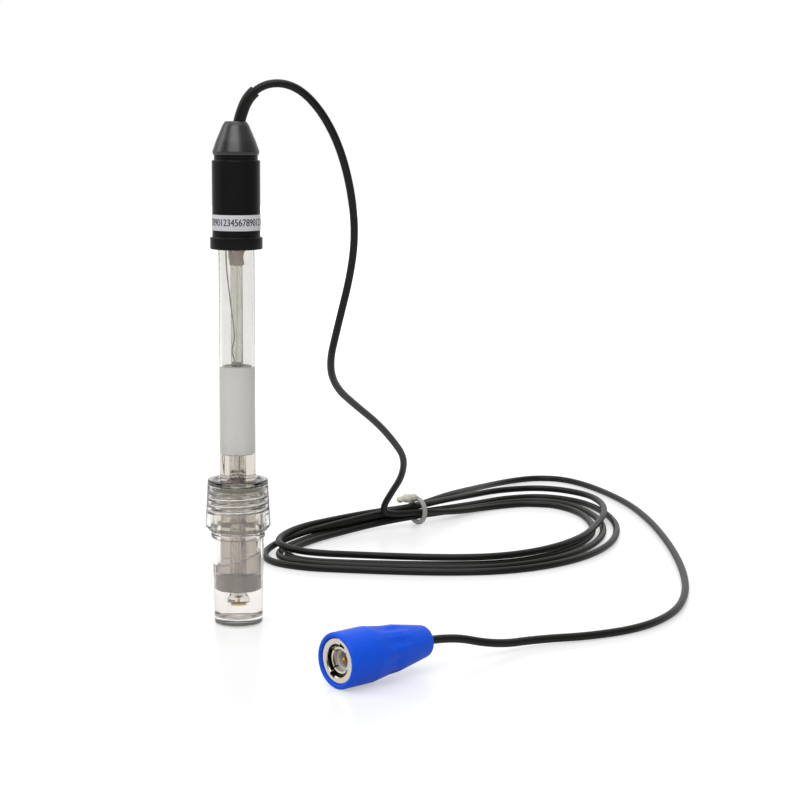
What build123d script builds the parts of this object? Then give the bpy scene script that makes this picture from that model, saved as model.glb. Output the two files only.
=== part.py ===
from build123d import *
import math
import os

os.makedirs("parts", exist_ok=True)

# A redox electrode standing in its storage bottle, with its coiled cable and bayonet plug.
# Millimetres, +Z up, origin at the middle of the bottle's foot on the ground.
# The cable lies to the right of the bottle (+X) and behind it (+Y), the plug in front (-Y).

# Storage bottle: a clear moulded bottle, slightly wider at the top, with a plain neck
bottle_base_radius = 8.1
bottle_top_radius = 8.75
bottle_body_height = 31.0
bottle_wall = 1.3
bottle_floor = 2.5
bottle_foot_round = 0.9
foot_recess_radius = 5.6
foot_recess_depth = 0.4
bead_out = 0.35
bead_height = 1.2
neck_radius = 8.6
neck_height = 15.0
solution_middle = 22.5
solution_high_side = 30.0
solution_lean = 19.0
solution_gap = 0.3

# Seal ring between the neck and the bottle cap, gripping the glass tube
seal_radius = 9.0
seal_thickness = 1.6
seal_grip_gap = 0.1

# Bottle cap: a clear screw cap with a hole for the tube
bottle_cap_plate = 1.9
bottle_cap_top_radius = 10.1
bottle_cap_skirt_radius = 10.95
bottle_cap_wall = 1.5
bottle_cap_height = 17.3
bottle_cap_bevel_height = 1.4
bottle_cap_bevel_in = 1.2
bottle_cap_hole_gap = 0.4
bottle_cap_dish_radius = 7.9
bottle_cap_dish_depth = 0.5
bottle_cap_edge_round = 0.5

# Electrode: a glass outer tube round a glass stem that carries the metal sensor at its tip
tip_height = 6.7
electrode_length = 120.0
tube_radius = 6.0
tube_wall = 0.9
tip_step = 5.0
stem_radius = 2.0
stem_wall = 0.5
stem_base = 1.6
stem_foot_radius = 2.8
stem_foot_height = 1.5
stem_flare_height = 1.8
disc_radius = 2.7
disc_thickness = 0.6
sensor_pin_radius = 0.35
sensor_pin_length = 2.3
signal_wire_radius = 0.2
junction_height = 5.7
clear_fill_height = 40.8
gel_height = 29.5
stopper_height = 17.9
stopper_recess = 0.1
stem_above_tube = 2.0
reference_wire_radius = 0.3
reference_core_offset = 0.7
reference_seat_offset = 3.1
reference_drop_offset = 3.6
reference_wire_depth = 7.7
glue_gap = 0.03

# Electrode cap: a black moulded cap glued over the tube, with a soft cable boot on its spigot
tube_seat_depth = 12.3
cap_flange_radius = 8.7
cap_flange_height = 4.0
cap_flange_chamfer = 0.5
cap_radius = 7.95
cap_body_height = 25.2
cap_top_chamfer = 0.5
cap_groove_radius = 7.2
cap_groove_height = 1.7
spigot_radius = 5.6
spigot_height = 4.4
cavity_radius = 5.4
cavity_height = 14.0
label_thickness = 0.1
label_height = 5.2
label_above_flange = 2.3
boot_lip_radius = 7.75
boot_lip_height = 1.6
boot_height = 11.0
boot_top_radius = 4.3
boot_middle_radius = 6.5
boot_middle_height = 4.7
boot_shoulder_drop = 1.3
boot_top_round = 0.8
sleeve_radius = 2.0
sleeve_wall = 0.55
sleeve_sunk = 1.4
sleeve_cut_reach = 6.4
sleeve_cut_height = 16.4

# Cable, and the band of its coil: half widths of the loose coil and of the tied bundle.
# The tie passes under the bundle, and the lead comes down on the bundle beside the tie.
cable_radius = 1.35
cable_fit = 0.05
coil_half_width = 8.0
coil_loose_half_width = 12.5
coil_height = 5.7
bundle_radius = 3.75
bundle_length = 38.0
tie_thickness = 2.1
tie_gap = 0.1
knot_radius = 1.7
knot_offset = 0.75
knot_turns = [-8, 34]
lead_clearance = 0.3
lead_landing_x = 48.8
lead_landing_y = 152.6

# Plug: lengths run from the front face of its blue boot to the rear
plug_front_x = 35.37
plug_front_y = -79.54
plug_heading = 42.0
plug_boot_length = 36.5
plug_boot_radius = 8.7
plug_band_length = 11.8
plug_waist_radius = 7.65
plug_waist_place = 18.7
plug_middle_radius = 7.4
plug_middle_place = 23.0
plug_grip_length = 6.0
plug_grip_end_radius = 6.0
plug_tail_radius = 4.9
plug_tail_round = 1.6
plug_rear_hole_radius = 1.75
flute_count = 9
flute_radius = 2.4
flute_depth = 0.4
flute_start = 15.0
flute_end = 27.5
ring_radius = 7.1
ring_recess = 0.8
ring_length = 15.3
ring_bore_radius = 5.0
ring_edge_round = 0.4
bayonet_groove_width = 2.2
bayonet_groove_depth = 0.75
bayonet_turn_place = 6.0
bayonet_groove_turn = 25.0
ring_cavity_place = 10.5
ring_cavity_length = 3.2
ring_cavity_radius = 6.3
ring_collar_gap = 0.15
ring_collar_overlap = 0.5
ferrule_place = 2.0
ferrule_radius = 4.1
ferrule_wall = 0.65
ferrule_slots = 4
ferrule_slot_width = 0.5
ferrule_slot_depth = 5.0
shell_flange_place = 11.0
shell_flange_thickness = 1.4
shell_flange_gap = 0.1
hub_radius = 4.5
hub_end = 22.0
insulator_front_place = 3.5
insulator_seat_place = 8.0
insulator_end = 18.0
insulator_collar_wall = 0.9
centre_pin_place = 3.0
centre_pin_radius = 0.68
gasket_thickness = 1.0
gasket_wall = 0.7
washer_thickness = 0.4
washer_wall = 1.2
crimp_stem_bore = 0.75
crimp_stem_end = 31.0
crimp_ferrule_place = 23.0
crimp_ferrule_length = 10.5
crimp_ferrule_wall = 0.6
plug_turn_gap = 0.4
plug_travel_gap = 1.1
tail_straight_place = 46.0

# Cuts run past the faces that they open by this much, and half-space cutters are this large
cut_over = 1.0
cutter_size = 60.0

# Heights that follow from the sizes above
neck_top = bottle_body_height + neck_height
seal_top = neck_top + seal_thickness
bottle_cap_top = seal_top + bottle_cap_plate
bottle_cap_bottom = bottle_cap_top - bottle_cap_height
disc_top = tip_height + disc_thickness
tube_bottom = tip_height + tip_step
junction_top = tube_bottom + junction_height
clear_fill_top = junction_top + clear_fill_height
gel_top = clear_fill_top + gel_height
cap_bottom = tip_height + electrode_length
tube_top = cap_bottom + tube_seat_depth
stopper_top = tube_top - stopper_recess
stopper_bottom = stopper_top - stopper_height
stem_top = tube_top + stem_above_tube
cavity_top = tube_top + cavity_height
cap_body_bottom = cap_bottom + cap_flange_height
cap_body_top = cap_body_bottom + cap_body_height
boot_bottom = cap_body_top + cap_groove_height
boot_top = boot_bottom + boot_height
boot_shoulder = boot_top - boot_shoulder_drop
spigot_top = boot_bottom + spigot_height
tube_bore = tube_radius - tube_wall
bundle_height = tie_thickness + tie_gap + bundle_radius
lead_landing = bundle_height + bundle_radius + lead_clearance + cable_radius

# The cable's route where it isn't coiled, as points chosen by eye; arcs join the straight runs.
# The first ones are heights above the cap's spigot, which they leave together with the cap.
arch_points = [
    (0, 0, -0.5), (1.3, 0, 7.8), (4.2, 0.2, 14.9), (9.9, 0.8, 18.9), (16.9, 2.0, 19.0),
    (23.3, 4.1, 15.3), (29.5, 7.0, 7.4)]
fall_points = [
    (34.4, 10.2, 158.6), (37.7, 13.6, 144.9), (38.9, 17.6, 130.5), (37.2, 22.4, 116.5),
    (32.6, 28.6, 98), (29.2, 38, 83.5), (31.2, 54, 73), (38, 75, 63.5), (45.6, 95, 54),
    (51.6, 112, 44.5), (56.4, 127, 35), (55.4, 139, 25), (51.0, 147.2, 16.6)]
lead_points = [(0, 0, cavity_top)]
lead_points += [(x, y, spigot_top + height) for x, y, height in arch_points]
lead_points += fall_points + [(lead_landing_x, lead_landing_y, lead_landing)]
tail_points = [
    (64.4, 168.4, 7.3), (74, 187, 8.0), (85, 214, 5.4), (96, 242, 2.4), (106, 257, 1.5),
    (117, 265.2, 1.4), (129, 264.4, 1.4), (138.6, 253, 1.4), (147.5, 232, 1.4), (155.5, 204, 1.4),
    (160, 171, 1.4), (162, 136, 1.4), (162.4, 102, 1.4), (161, 68, 1.4), (157.4, 38, 1.4),
    (150, 11, 1.4), (136.5, -9.6, 1.4), (118, -21, 1.4), (100, -27.6, 2.0), (85.5, -39.6, 3.2)]

# Middle line of the coil, clockwise from its tie
coil_points = [
    (62, 164), (76, 180), (90, 197), (104, 209.5), (118, 214), (130.5, 206), (138.5, 189),
    (142, 167), (141, 144), (134.5, 121), (123, 101), (108.5, 86.5), (92, 78), (73, 76),
    (53, 77.5), (36, 80), (20.5, 83.5), (9.5, 91), (7.5, 106), (16.5, 125), (30, 142), (45.5, 155)]
tied_stations = [len(coil_points) - 1, 0, 1]
loose_stations = [3, 4, 5]


def turned(*outline):
    """A solid turned about the Z axis from (radius, height) points."""
    face = Plane.XZ * make_face(Polyline(*outline, close=True))
    return revolve(face, Axis.Z)


def drum(radius, bottom, top, hole=0.0):
    """A plain cylinder or ring between two heights."""
    solid = Pos(0, 0, bottom) * extrude(Circle(radius), top - bottom)
    if hole > 0:
        solid -= Pos(0, 0, bottom) * extrude(Circle(hole), top - bottom)
    return solid


def bend_radii(points):
    """Arc radii that leave a tenth of each straight run between the arcs."""
    places = [Vector(*p) for p in points]
    radii = []
    for a, b, c in zip(places, places[1:], places[2:]):
        turn = math.radians((b - a).get_angle(c - b))
        radii.append(0.45 * min((b - a).length, (c - b).length) / math.tan(turn / 2))
    return radii


def rounded_path(points):
    return FilletPolyline(*points, radius=bend_radii(points))


def tube(points, radius, hole=0.0):
    """A round tube along straight runs joined by tangent arcs."""
    path = rounded_path(points)
    section = Circle(radius)
    if hole > 0:
        section -= Circle(hole)
    return sweep(Plane(origin=path @ 0, z_dir=path % 0) * section, path=path)


def tilted_block(origin, normal):
    """A large block on the side of a plane that its normal points to."""
    block = Box(cutter_size, cutter_size, cutter_size)
    return Plane(origin=origin, z_dir=normal) * Pos(0, 0, cutter_size / 2) * block


# Storage bottle, its solution, seal ring and screw cap


def bottle_cavity(gap=0.0, top=neck_top):
    base = bottle_base_radius - bottle_wall - gap
    shoulder = neck_radius - bottle_wall - gap
    return turned(
        (0, bottle_floor + gap), (base, bottle_floor + gap),
        (shoulder, bottle_body_height), (shoulder, top), (0, top))


def make_storage_bottle():
    outside = turned(
        (0, 0), (bottle_base_radius, 0),
        (bottle_top_radius, bottle_body_height - bead_height),
        (bottle_top_radius + bead_out, bottle_body_height - bead_height),
        (bottle_top_radius + bead_out, bottle_body_height),
        (neck_radius, bottle_body_height), (neck_radius, neck_top), (0, neck_top))
    foot_edge = outside.edges().group_by(Axis.Z)[0]
    outside = fillet(foot_edge, bottle_foot_round)
    recess = drum(foot_recess_radius, 0, foot_recess_depth)
    return outside - bottle_cavity(top=neck_top + cut_over) - recess


def make_storage_solution():
    """The liquid round the tip; its surface clings higher on the right-hand side."""
    liquid = bottle_cavity(gap=glue_gap, top=solution_high_side)
    lean = math.radians(solution_lean)
    surface = tilted_block((0, 0, solution_middle), (-math.sin(lean), 0, math.cos(lean)))
    liquid -= surface
    liquid -= drum(tube_radius + solution_gap, tube_bottom - solution_gap, solution_high_side)
    liquid -= drum(stem_foot_radius + solution_gap, tip_height - solution_gap, tube_bottom)
    return liquid


def make_seal_ring():
    return drum(seal_radius, neck_top, seal_top, hole=tube_radius + seal_grip_gap)


def make_bottle_cap():
    inside = bottle_cap_skirt_radius - bottle_cap_wall
    hole = tube_radius + bottle_cap_hole_gap
    bevel_top = bottle_cap_bottom + bottle_cap_bevel_height
    cap = turned(
        (hole, seal_top), (inside, seal_top), (inside, bottle_cap_bottom),
        (bottle_cap_skirt_radius - bottle_cap_bevel_in, bottle_cap_bottom),
        (bottle_cap_skirt_radius, bevel_top), (bottle_cap_top_radius, bottle_cap_top),
        (bottle_cap_dish_radius, bottle_cap_top),
        (bottle_cap_dish_radius, bottle_cap_top - bottle_cap_dish_depth),
        (hole, bottle_cap_top - bottle_cap_dish_depth))
    rim = cap.edges().filter_by(GeomType.CIRCLE).filter_by(
        lambda edge: abs(edge.radius - bottle_cap_top_radius) < 0.01)
    return fillet(rim, bottle_cap_edge_round)


# Electrode


def make_outer_tube():
    return drum(tube_radius, tube_bottom, tube_top, hole=tube_bore)


def make_inner_stem():
    """The stem's end is closed and flared out to the width of the sensor under it."""
    foot_top = disc_top + stem_foot_height
    stem = turned(
        (0, disc_top), (stem_foot_radius, disc_top), (stem_foot_radius, foot_top),
        (stem_radius, foot_top + stem_flare_height), (stem_radius, stem_top), (0, stem_top))
    stem -= drum(stem_radius - stem_wall, disc_top + stem_base, stem_top)
    return stem - drum(sensor_pin_radius + glue_gap, disc_top, disc_top + stem_base)


def make_sensor_disc():
    return drum(disc_radius, tip_height, disc_top)


def make_sensor_pin():
    return drum(sensor_pin_radius, disc_top, disc_top + sensor_pin_length)


def make_signal_wire():
    return drum(signal_wire_radius, disc_top + sensor_pin_length, cavity_top)


def annular_fill(bottom, top):
    """A ring that fills the space between the stem and the outer tube."""
    return drum(tube_bore - glue_gap, bottom, top, hole=stem_radius + glue_gap)


def reference_wire_points():
    """The reference wire leaves the cable, passes the stopper and dips into the gel."""
    core = reference_core_offset
    seat = reference_seat_offset
    drop = reference_drop_offset
    return [
        (-core, -core, cavity_top), (-core, -core, cavity_top - 4.5), (-seat, -seat, tube_top + 4),
        (-seat, -seat - 0.1, stopper_bottom + 2), (-2.7, -3.4, stopper_bottom - 2.5),
        (-0.8, -3.5, gel_top + 14.3), (-0.4, -drop, gel_top + 9.3), (-1.7, -drop, gel_top + 5.3),
        (0.2, -drop, gel_top + 1.2), (0.2, -drop, gel_top - reference_wire_depth)]


def wire_way():
    return tube(reference_wire_points(), reference_wire_radius + glue_gap)


def make_reference_wire():
    return tube(reference_wire_points(), reference_wire_radius)


def make_junction_plug():
    return annular_fill(tube_bottom, junction_top)


def make_lower_electrolyte():
    return annular_fill(junction_top, clear_fill_top)


def make_reference_gel():
    return annular_fill(clear_fill_top, gel_top) - wire_way()


def make_tube_stopper():
    return annular_fill(stopper_bottom, stopper_top) - wire_way()


def make_cap_potting():
    potting = drum(cavity_radius - glue_gap, tube_top + glue_gap, cavity_top)
    potting -= drum(stem_radius + glue_gap, tube_top, stem_top + glue_gap)
    potting -= drum(signal_wire_radius + glue_gap, stem_top, cavity_top)
    return potting - wire_way()


def make_electrode_cap():
    tip = cap_flange_chamfer
    cap = turned(
        (0, cap_bottom), (cap_flange_radius - tip, cap_bottom),
        (cap_flange_radius, cap_bottom + tip), (cap_flange_radius, cap_body_bottom - tip),
        (cap_flange_radius - tip, cap_body_bottom), (cap_radius, cap_body_bottom),
        (cap_radius, cap_body_top - cap_top_chamfer),
        (cap_radius - cap_top_chamfer, cap_body_top), (cap_groove_radius, cap_body_top),
        (cap_groove_radius, boot_bottom), (spigot_radius, boot_bottom),
        (spigot_radius, spigot_top), (0, spigot_top))
    cap -= drum(tube_radius + glue_gap, cap_bottom, tube_top)
    cap -= drum(cavity_radius, tube_top, cavity_top)
    cap -= tube(lead_points[:4], cable_radius + cable_fit)
    return cap - sleeve_way()


def make_cap_label():
    bottom = cap_body_bottom + label_above_flange
    inside = cap_radius + glue_gap / 2
    return drum(inside + label_thickness, bottom, bottom + label_height, hole=inside)


def sleeve_way():
    """Room for the strain sleeve in the spigot and the boot."""
    bottom = spigot_top - sleeve_sunk
    way = tube(lead_points[:4], sleeve_radius + cable_fit)
    return way - tilted_block((0, 0, bottom), (0, 0, -1))


def make_cable_boot():
    middle = boot_bottom + boot_middle_height
    boot = turned(
        (spigot_radius + cable_fit, boot_bottom), (boot_lip_radius, boot_bottom),
        (boot_lip_radius, boot_bottom + boot_lip_height), (boot_middle_radius, middle),
        (boot_top_radius, boot_shoulder), (boot_top_radius - boot_top_round, boot_top),
        (0, boot_top), (0, spigot_top + cable_fit),
        (spigot_radius + cable_fit, spigot_top + cable_fit))
    return boot - sleeve_way()


def make_strain_sleeve():
    """A short cut length of tubing over the cable, bent with it."""
    cut_place = (sleeve_cut_reach, 0, spigot_top + sleeve_cut_height)
    cut_direction = Vector(*lead_points[4]) - Vector(*lead_points[3])
    sleeve = tube(lead_points[:6], sleeve_radius, hole=sleeve_radius - sleeve_wall)
    sleeve -= tilted_block((0, 0, spigot_top - sleeve_sunk), (0, 0, -1))
    return sleeve - tilted_block(cut_place, cut_direction)


# Cable


def make_cable_lead():
    return tube(lead_points, cable_radius)


def make_cable_tail():
    """From the tie round the right-hand side to the plug's crimp stem."""
    plug_points = [on_plug(tail_straight_place), on_plug(crimp_stem_end)]
    return tube(tail_points + plug_points, cable_radius)


def coil_normal(station):
    """The direction out of the coil at a station, in plan."""
    before = Vector(*coil_points[station - 1])
    after = Vector(*coil_points[(station + 1) % len(coil_points)])
    along = (after - before).normalized()
    return Vector(-along.Y, along.X)


def coil_outline(side):
    """One edge of the coil's band; side is 1 for the outer edge and -1 for the inner."""
    points = []
    for station, place in enumerate(coil_points):
        half = coil_half_width
        if station in tied_stations:
            half = bundle_radius
        if station in loose_stations:
            half = coil_loose_half_width
        points.append(Vector(*place) + coil_normal(station) * (side * half))
    return points


def coil_face(side):
    outline = coil_outline(side)
    ends = [outline[-1]] + outline + [outline[0]]
    return make_face(FilletPolyline(*outline, radius=bend_radii(ends), close=True))


def tie_plane():
    """At the tie, with its normal along the bundle."""
    across = coil_normal(0)
    x, y = coil_points[0]
    return Plane(origin=(x, y, bundle_height), x_dir=(0, 0, 1), z_dir=(across.Y, -across.X, 0))


def make_cable_coil():
    """The band that the coiled turns fill, lifted and gathered into a round bundle at the tie."""
    band = extrude(coil_face(1) - coil_face(-1), coil_height)
    notch_radius = bundle_radius + tie_thickness * 2
    notch = tie_plane() * Cylinder(notch_radius * 2, tie_thickness * 2)
    bundle = tie_plane() * Cylinder(bundle_radius, bundle_length)
    return band - notch + bundle


def make_coil_tie():
    """A soft ring of tubing, knotted behind the top of the bundle."""
    ring_middle = bundle_radius + tie_gap + tie_thickness / 2
    ring = Torus(ring_middle, tie_thickness / 2)
    reach = ring_middle + knot_offset
    for turn in knot_turns:
        spot = math.radians(turn)
        ring += Pos(reach * math.cos(spot), reach * math.sin(spot), 0) * Sphere(knot_radius)
    return tie_plane() * ring


# Plug: modelled along +Z from its front face, then laid on the ground


def plug_plane():
    heading = math.radians(plug_heading)
    return Plane(
        origin=(plug_front_x, plug_front_y, plug_boot_radius),
        x_dir=(0, 0, 1), z_dir=(math.cos(heading), math.sin(heading), 0))


def on_plug(place):
    """A point of the plug's axis as plain numbers."""
    spot = plug_plane() * Pos(0, 0, place)
    return (spot.position.X, spot.position.Y, spot.position.Z)


def ring_cavity_end():
    return ring_cavity_place + ring_cavity_length


def make_coupling_ring():
    front = ring_recess
    rear = ring_recess + ring_length
    ring = drum(ring_radius, front, rear, hole=ring_bore_radius)
    rims = ring.edges().group_by(Axis.Z)[0]
    ring = fillet(rims, ring_edge_round)
    ring += drum(ring_bore_radius + ring_collar_overlap, ring_cavity_end(), rear)
    ring -= drum(ring_cavity_radius, ring_cavity_place, ring_cavity_end())
    ring -= drum(hub_radius + ring_collar_gap, ring_cavity_end(), rear)
    reach = ring_bore_radius + bayonet_groove_depth
    turn_end = bayonet_turn_place + bayonet_groove_width
    for side in (-1, 1):
        length = turn_end - front
        groove = Box(reach, bayonet_groove_width, length)
        ring -= Rot(0, 0, bayonet_groove_turn) * Pos(side * reach / 2, 0, front + length / 2) * groove
    return ring - drum(reach, bayonet_turn_place, turn_end)


def make_plug_boot():
    boot = turned(
        (0, 0), (plug_boot_radius, 0), (plug_boot_radius, plug_band_length),
        (plug_waist_radius, plug_waist_place), (plug_middle_radius, plug_middle_place),
        (plug_grip_end_radius, plug_boot_length - plug_grip_length),
        (plug_tail_radius, plug_boot_length),
        (0, plug_boot_length))
    rear_edge = boot.edges().filter_by(GeomType.CIRCLE).group_by(Axis.Z)[-1]
    boot = fillet(rear_edge, plug_tail_round)
    lean = Vector(plug_grip_end_radius - plug_waist_radius, 0, flute_end - flute_start)
    reach = plug_waist_radius + flute_radius - flute_depth
    for number in range(flute_count):
        start = Plane(origin=(reach, 0, flute_start), z_dir=lean)
        cutter = start * extrude(Circle(flute_radius), lean.length)
        cutter += Pos(reach, 0, flute_start) * Sphere(flute_radius)
        cutter += Pos(reach + lean.X, 0, flute_end) * Sphere(flute_radius)
        boot -= Rot(0, 0, 360 * number / flute_count) * cutter
    ring_rear = ring_recess + ring_length
    ferrule_end = crimp_ferrule_place + crimp_ferrule_length
    ferrule_outside = cable_radius + cable_fit + crimp_ferrule_wall
    boot -= drum(ring_radius + cable_fit, 0, ring_rear)
    boot -= drum(hub_radius + plug_turn_gap, ring_rear, hub_end + plug_travel_gap)
    boot -= drum(ferrule_outside + plug_turn_gap, hub_end, ferrule_end + plug_travel_gap)
    return boot - drum(plug_rear_hole_radius, ferrule_end, plug_boot_length)


def make_plug_shell():
    """Split front ferrule, flange, hub and crimp stem in one turned piece."""
    flange_end = shell_flange_place + shell_flange_thickness
    flange = ring_cavity_radius - shell_flange_gap
    shell = turned(
        (0, ferrule_place), (ferrule_radius, ferrule_place),
        (ferrule_radius, shell_flange_place), (flange, shell_flange_place),
        (flange, flange_end), (hub_radius, flange_end), (hub_radius, hub_end),
        (cable_radius, hub_end), (cable_radius, crimp_stem_end), (0, crimp_stem_end))
    shell -= drum(ferrule_radius - ferrule_wall, ferrule_place, insulator_end)
    shell -= drum(crimp_stem_bore, insulator_end, crimp_stem_end)
    slot = Box(4 * ferrule_radius, ferrule_slot_width, ferrule_slot_depth)
    for number in range(ferrule_slots // 2):
        turn = Rot(0, 0, 45 + 360 * number / ferrule_slots)
        shell -= Pos(0, 0, ferrule_place + ferrule_slot_depth / 2) * turn * slot
    return shell


def make_plug_insulator():
    outside = ferrule_radius - ferrule_wall - cable_fit
    collar = outside - insulator_collar_wall
    insulator = drum(outside, insulator_seat_place, insulator_end)
    insulator += drum(outside, insulator_front_place, insulator_seat_place, hole=collar)
    return insulator - drum(centre_pin_radius, insulator_seat_place, insulator_end)


def make_centre_pin():
    pin = drum(centre_pin_radius, centre_pin_place, insulator_end)
    nose = pin.edges().group_by(Axis.Z)[0]
    return chamfer(nose, centre_pin_radius * 0.5)


def make_plug_gasket():
    inside = ferrule_radius + cable_fit
    front = shell_flange_place - gasket_thickness
    return drum(inside + gasket_wall, front, shell_flange_place, hole=inside)


def make_spring_washer():
    inside = hub_radius + ring_collar_gap
    rear = ring_cavity_end()
    return drum(inside + washer_wall, rear - washer_thickness, rear, hole=inside)


def make_crimp_ferrule():
    inside = cable_radius + cable_fit
    end = crimp_ferrule_place + crimp_ferrule_length
    return drum(inside + crimp_ferrule_wall, crimp_ferrule_place, end, hole=inside)


plug_makers = {
    "plug_boot": make_plug_boot,
    "coupling_ring": make_coupling_ring,
    "spring_washer": make_spring_washer,
    "plug_shell": make_plug_shell,
    "plug_gasket": make_plug_gasket,
    "plug_insulator": make_plug_insulator,
    "centre_pin": make_centre_pin,
    "crimp_ferrule": make_crimp_ferrule,
}
standing_makers = {
    "storage_bottle": make_storage_bottle,
    "storage_solution": make_storage_solution,
    "seal_ring": make_seal_ring,
    "bottle_cap": make_bottle_cap,
    "outer_tube": make_outer_tube,
    "inner_stem": make_inner_stem,
    "sensor_disc": make_sensor_disc,
    "sensor_pin": make_sensor_pin,
    "signal_wire": make_signal_wire,
    "reference_wire": make_reference_wire,
    "junction_plug": make_junction_plug,
    "lower_electrolyte": make_lower_electrolyte,
    "reference_gel": make_reference_gel,
    "tube_stopper": make_tube_stopper,
    "electrode_cap": make_electrode_cap,
    "cap_potting": make_cap_potting,
    "cap_label": make_cap_label,
    "cable_boot": make_cable_boot,
    "strain_sleeve": make_strain_sleeve,
    "cable_lead": make_cable_lead,
    "cable_coil": make_cable_coil,
    "cable_tail": make_cable_tail,
    "coil_tie": make_coil_tie,
}

for name, make in standing_makers.items():
    export_step(make(), f"parts/{name}.step")
for name, make in plug_makers.items():
    export_step(plug_plane() * make(), f"parts/{name}.step")

for name, points in (("lead", lead_points), ("tail", tail_points)):
    path = rounded_path(points)
    length = path.length
    print(name, "length", round(length), "bend radii", [round(r, 1) for r in bend_radii(points)])
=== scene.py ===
# %% [markdown]
# # A redox probe in its storage bottle
# The object is a glass measuring electrode that stands in a clear bottle of storage solution. A thin
# black cable arches from its cap to a tied coil, runs round the coil and ends in a blue bayonet plug.
# The packed model is the frame: it says where every piece goes and which body carries it. This
# lesson dresses it. Pieces that the frame has right keep their shape, and finer ones replace the rest.

import math

import bmesh
import bpy
from mathutils import Matrix, Vector


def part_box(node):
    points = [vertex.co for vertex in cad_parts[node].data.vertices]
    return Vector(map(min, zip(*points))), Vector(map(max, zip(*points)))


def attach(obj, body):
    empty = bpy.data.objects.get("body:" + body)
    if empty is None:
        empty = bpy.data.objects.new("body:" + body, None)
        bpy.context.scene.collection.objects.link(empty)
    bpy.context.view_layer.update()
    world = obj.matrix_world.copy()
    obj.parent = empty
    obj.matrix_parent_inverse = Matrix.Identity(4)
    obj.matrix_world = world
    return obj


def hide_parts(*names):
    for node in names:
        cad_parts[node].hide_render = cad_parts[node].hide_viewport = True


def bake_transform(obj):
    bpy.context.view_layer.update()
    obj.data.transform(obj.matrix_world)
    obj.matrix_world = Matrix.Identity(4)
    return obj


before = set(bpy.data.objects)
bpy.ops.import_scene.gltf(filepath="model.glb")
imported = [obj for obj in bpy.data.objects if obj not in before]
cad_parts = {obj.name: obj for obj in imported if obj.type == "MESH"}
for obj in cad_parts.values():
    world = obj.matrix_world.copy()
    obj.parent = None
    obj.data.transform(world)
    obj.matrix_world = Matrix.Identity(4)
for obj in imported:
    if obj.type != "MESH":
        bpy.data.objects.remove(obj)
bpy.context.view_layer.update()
MM = 0.001

# %% [markdown]
# ## Camera
# The photograph looks slightly down on the probe from about two thirds of a metre. A 90 mm lens on a
# 36 mm frame has the same narrow field. The camera is placed by one matrix: its place, then a tilt
# about X, then a very small roll about its own axis, which the leaning probe in the photograph shows.

# %% Make the camera


def new_object(name, data):
    """An object with this data, linked into the scene."""
    made = bpy.data.objects.new(name, data)
    bpy.context.collection.objects.link(made)
    return made


camera_place = Vector((0.05439, -0.662, 0.1722))
camera_down = math.radians(8.223)
camera_roll = 0.0057
camera_data = bpy.data.cameras.new("camera")
camera_data.lens = 90
camera_data.sensor_width = 36
camera_data.clip_start = 0.01
camera_data.dof.use_dof = False
camera = new_object("camera", camera_data)
tilt = Matrix.Rotation(math.pi / 2 - camera_down, 4, "X")
camera.matrix_world = Matrix.Translation(camera_place) @ tilt @ Matrix.Rotation(camera_roll, 4, "Z")
bpy.context.scene.camera = camera
print("camera", [round(x, 3) for x in camera.location])

# %% [markdown]
# ## Helpers for materials
# Colours are written as sRGB hex, as a colour picker shows them, and shaders work in linear light, so
# one function turns them. Another adds a node with its settings and links in one line.

# %% Colours and nodes


def linear(hex_code):
    """A linear colour with alpha from an sRGB hex code such as #23241F."""
    colour = []
    for start in (1, 3, 5):
        share = int(hex_code[start:start + 2], 16) / 255
        colour.append(share / 12.92 if share <= 0.04045 else ((share + 0.055) / 1.055) ** 2.4)
    return (*colour, 1.0)


def add_node(tree, kind, inputs=None, **settings):
    """Adds a node. Inputs are values, or sockets of other nodes, which are linked."""
    made = tree.nodes.new(kind)
    for name, value in settings.items():
        setattr(made, name, value)
    for name, value in (inputs or {}).items():
        if isinstance(value, bpy.types.NodeSocket):
            tree.links.new(value, made.inputs[name])
        else:
            made.inputs[name].default_value = value
    return made


print("black cable in linear light", [round(c, 4) for c in linear("#23241F")])

# %% [markdown]
# A real surface is never one flat value. This starter gives each material a Principled shader, a
# colour that can drift between two tones, a roughness that varies with the grain, and a fine bump.
# The grain's size is given in millimetres and turned into a noise scale.

# %% Start a material


def start_material(name, colour, roughness, grain, bump=0.0, tone=None, drift=6.0, **values):
    """A material whose colour drifts from colour to tone over drift mm, with grain in mm."""
    material = bpy.data.materials.new(name)
    material.use_nodes = True
    tree = material.node_tree
    shader = tree.nodes["Principled BSDF"]
    for socket, value in values.items():
        shader.inputs[socket.replace("_", " ")].default_value = value
    place = add_node(tree, "ShaderNodeTexCoord").outputs["Object"]
    slow = add_node(tree, "ShaderNodeTexNoise", {"Vector": place, "Scale": 1 / (drift * MM)})
    fine = add_node(tree, "ShaderNodeTexNoise", {"Vector": place, "Scale": 1 / (grain * MM)})
    if tone:
        blend = add_node(tree, "ShaderNodeMix", {"Factor": slow.outputs["Fac"]}, data_type="RGBA")
        blend.inputs["A"].default_value = linear(colour)
        blend.inputs["B"].default_value = linear(tone)
        tree.links.new(blend.outputs["Result"], shader.inputs["Base Color"])
    else:
        shader.inputs["Base Color"].default_value = linear(colour)
    rough = add_node(tree, "ShaderNodeMapRange", {
        "Value": fine.outputs["Fac"], "To Min": roughness * 0.85, "To Max": roughness * 1.15})
    tree.links.new(rough.outputs["Result"], shader.inputs["Roughness"])
    if bump:
        dents = add_node(tree, "ShaderNodeBump", {
            "Height": fine.outputs["Fac"], "Strength": 1.0, "Distance": bump * MM})
        tree.links.new(dents.outputs["Normal"], shader.inputs["Normal"])
    return material


print(start_material.__doc__)

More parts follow.
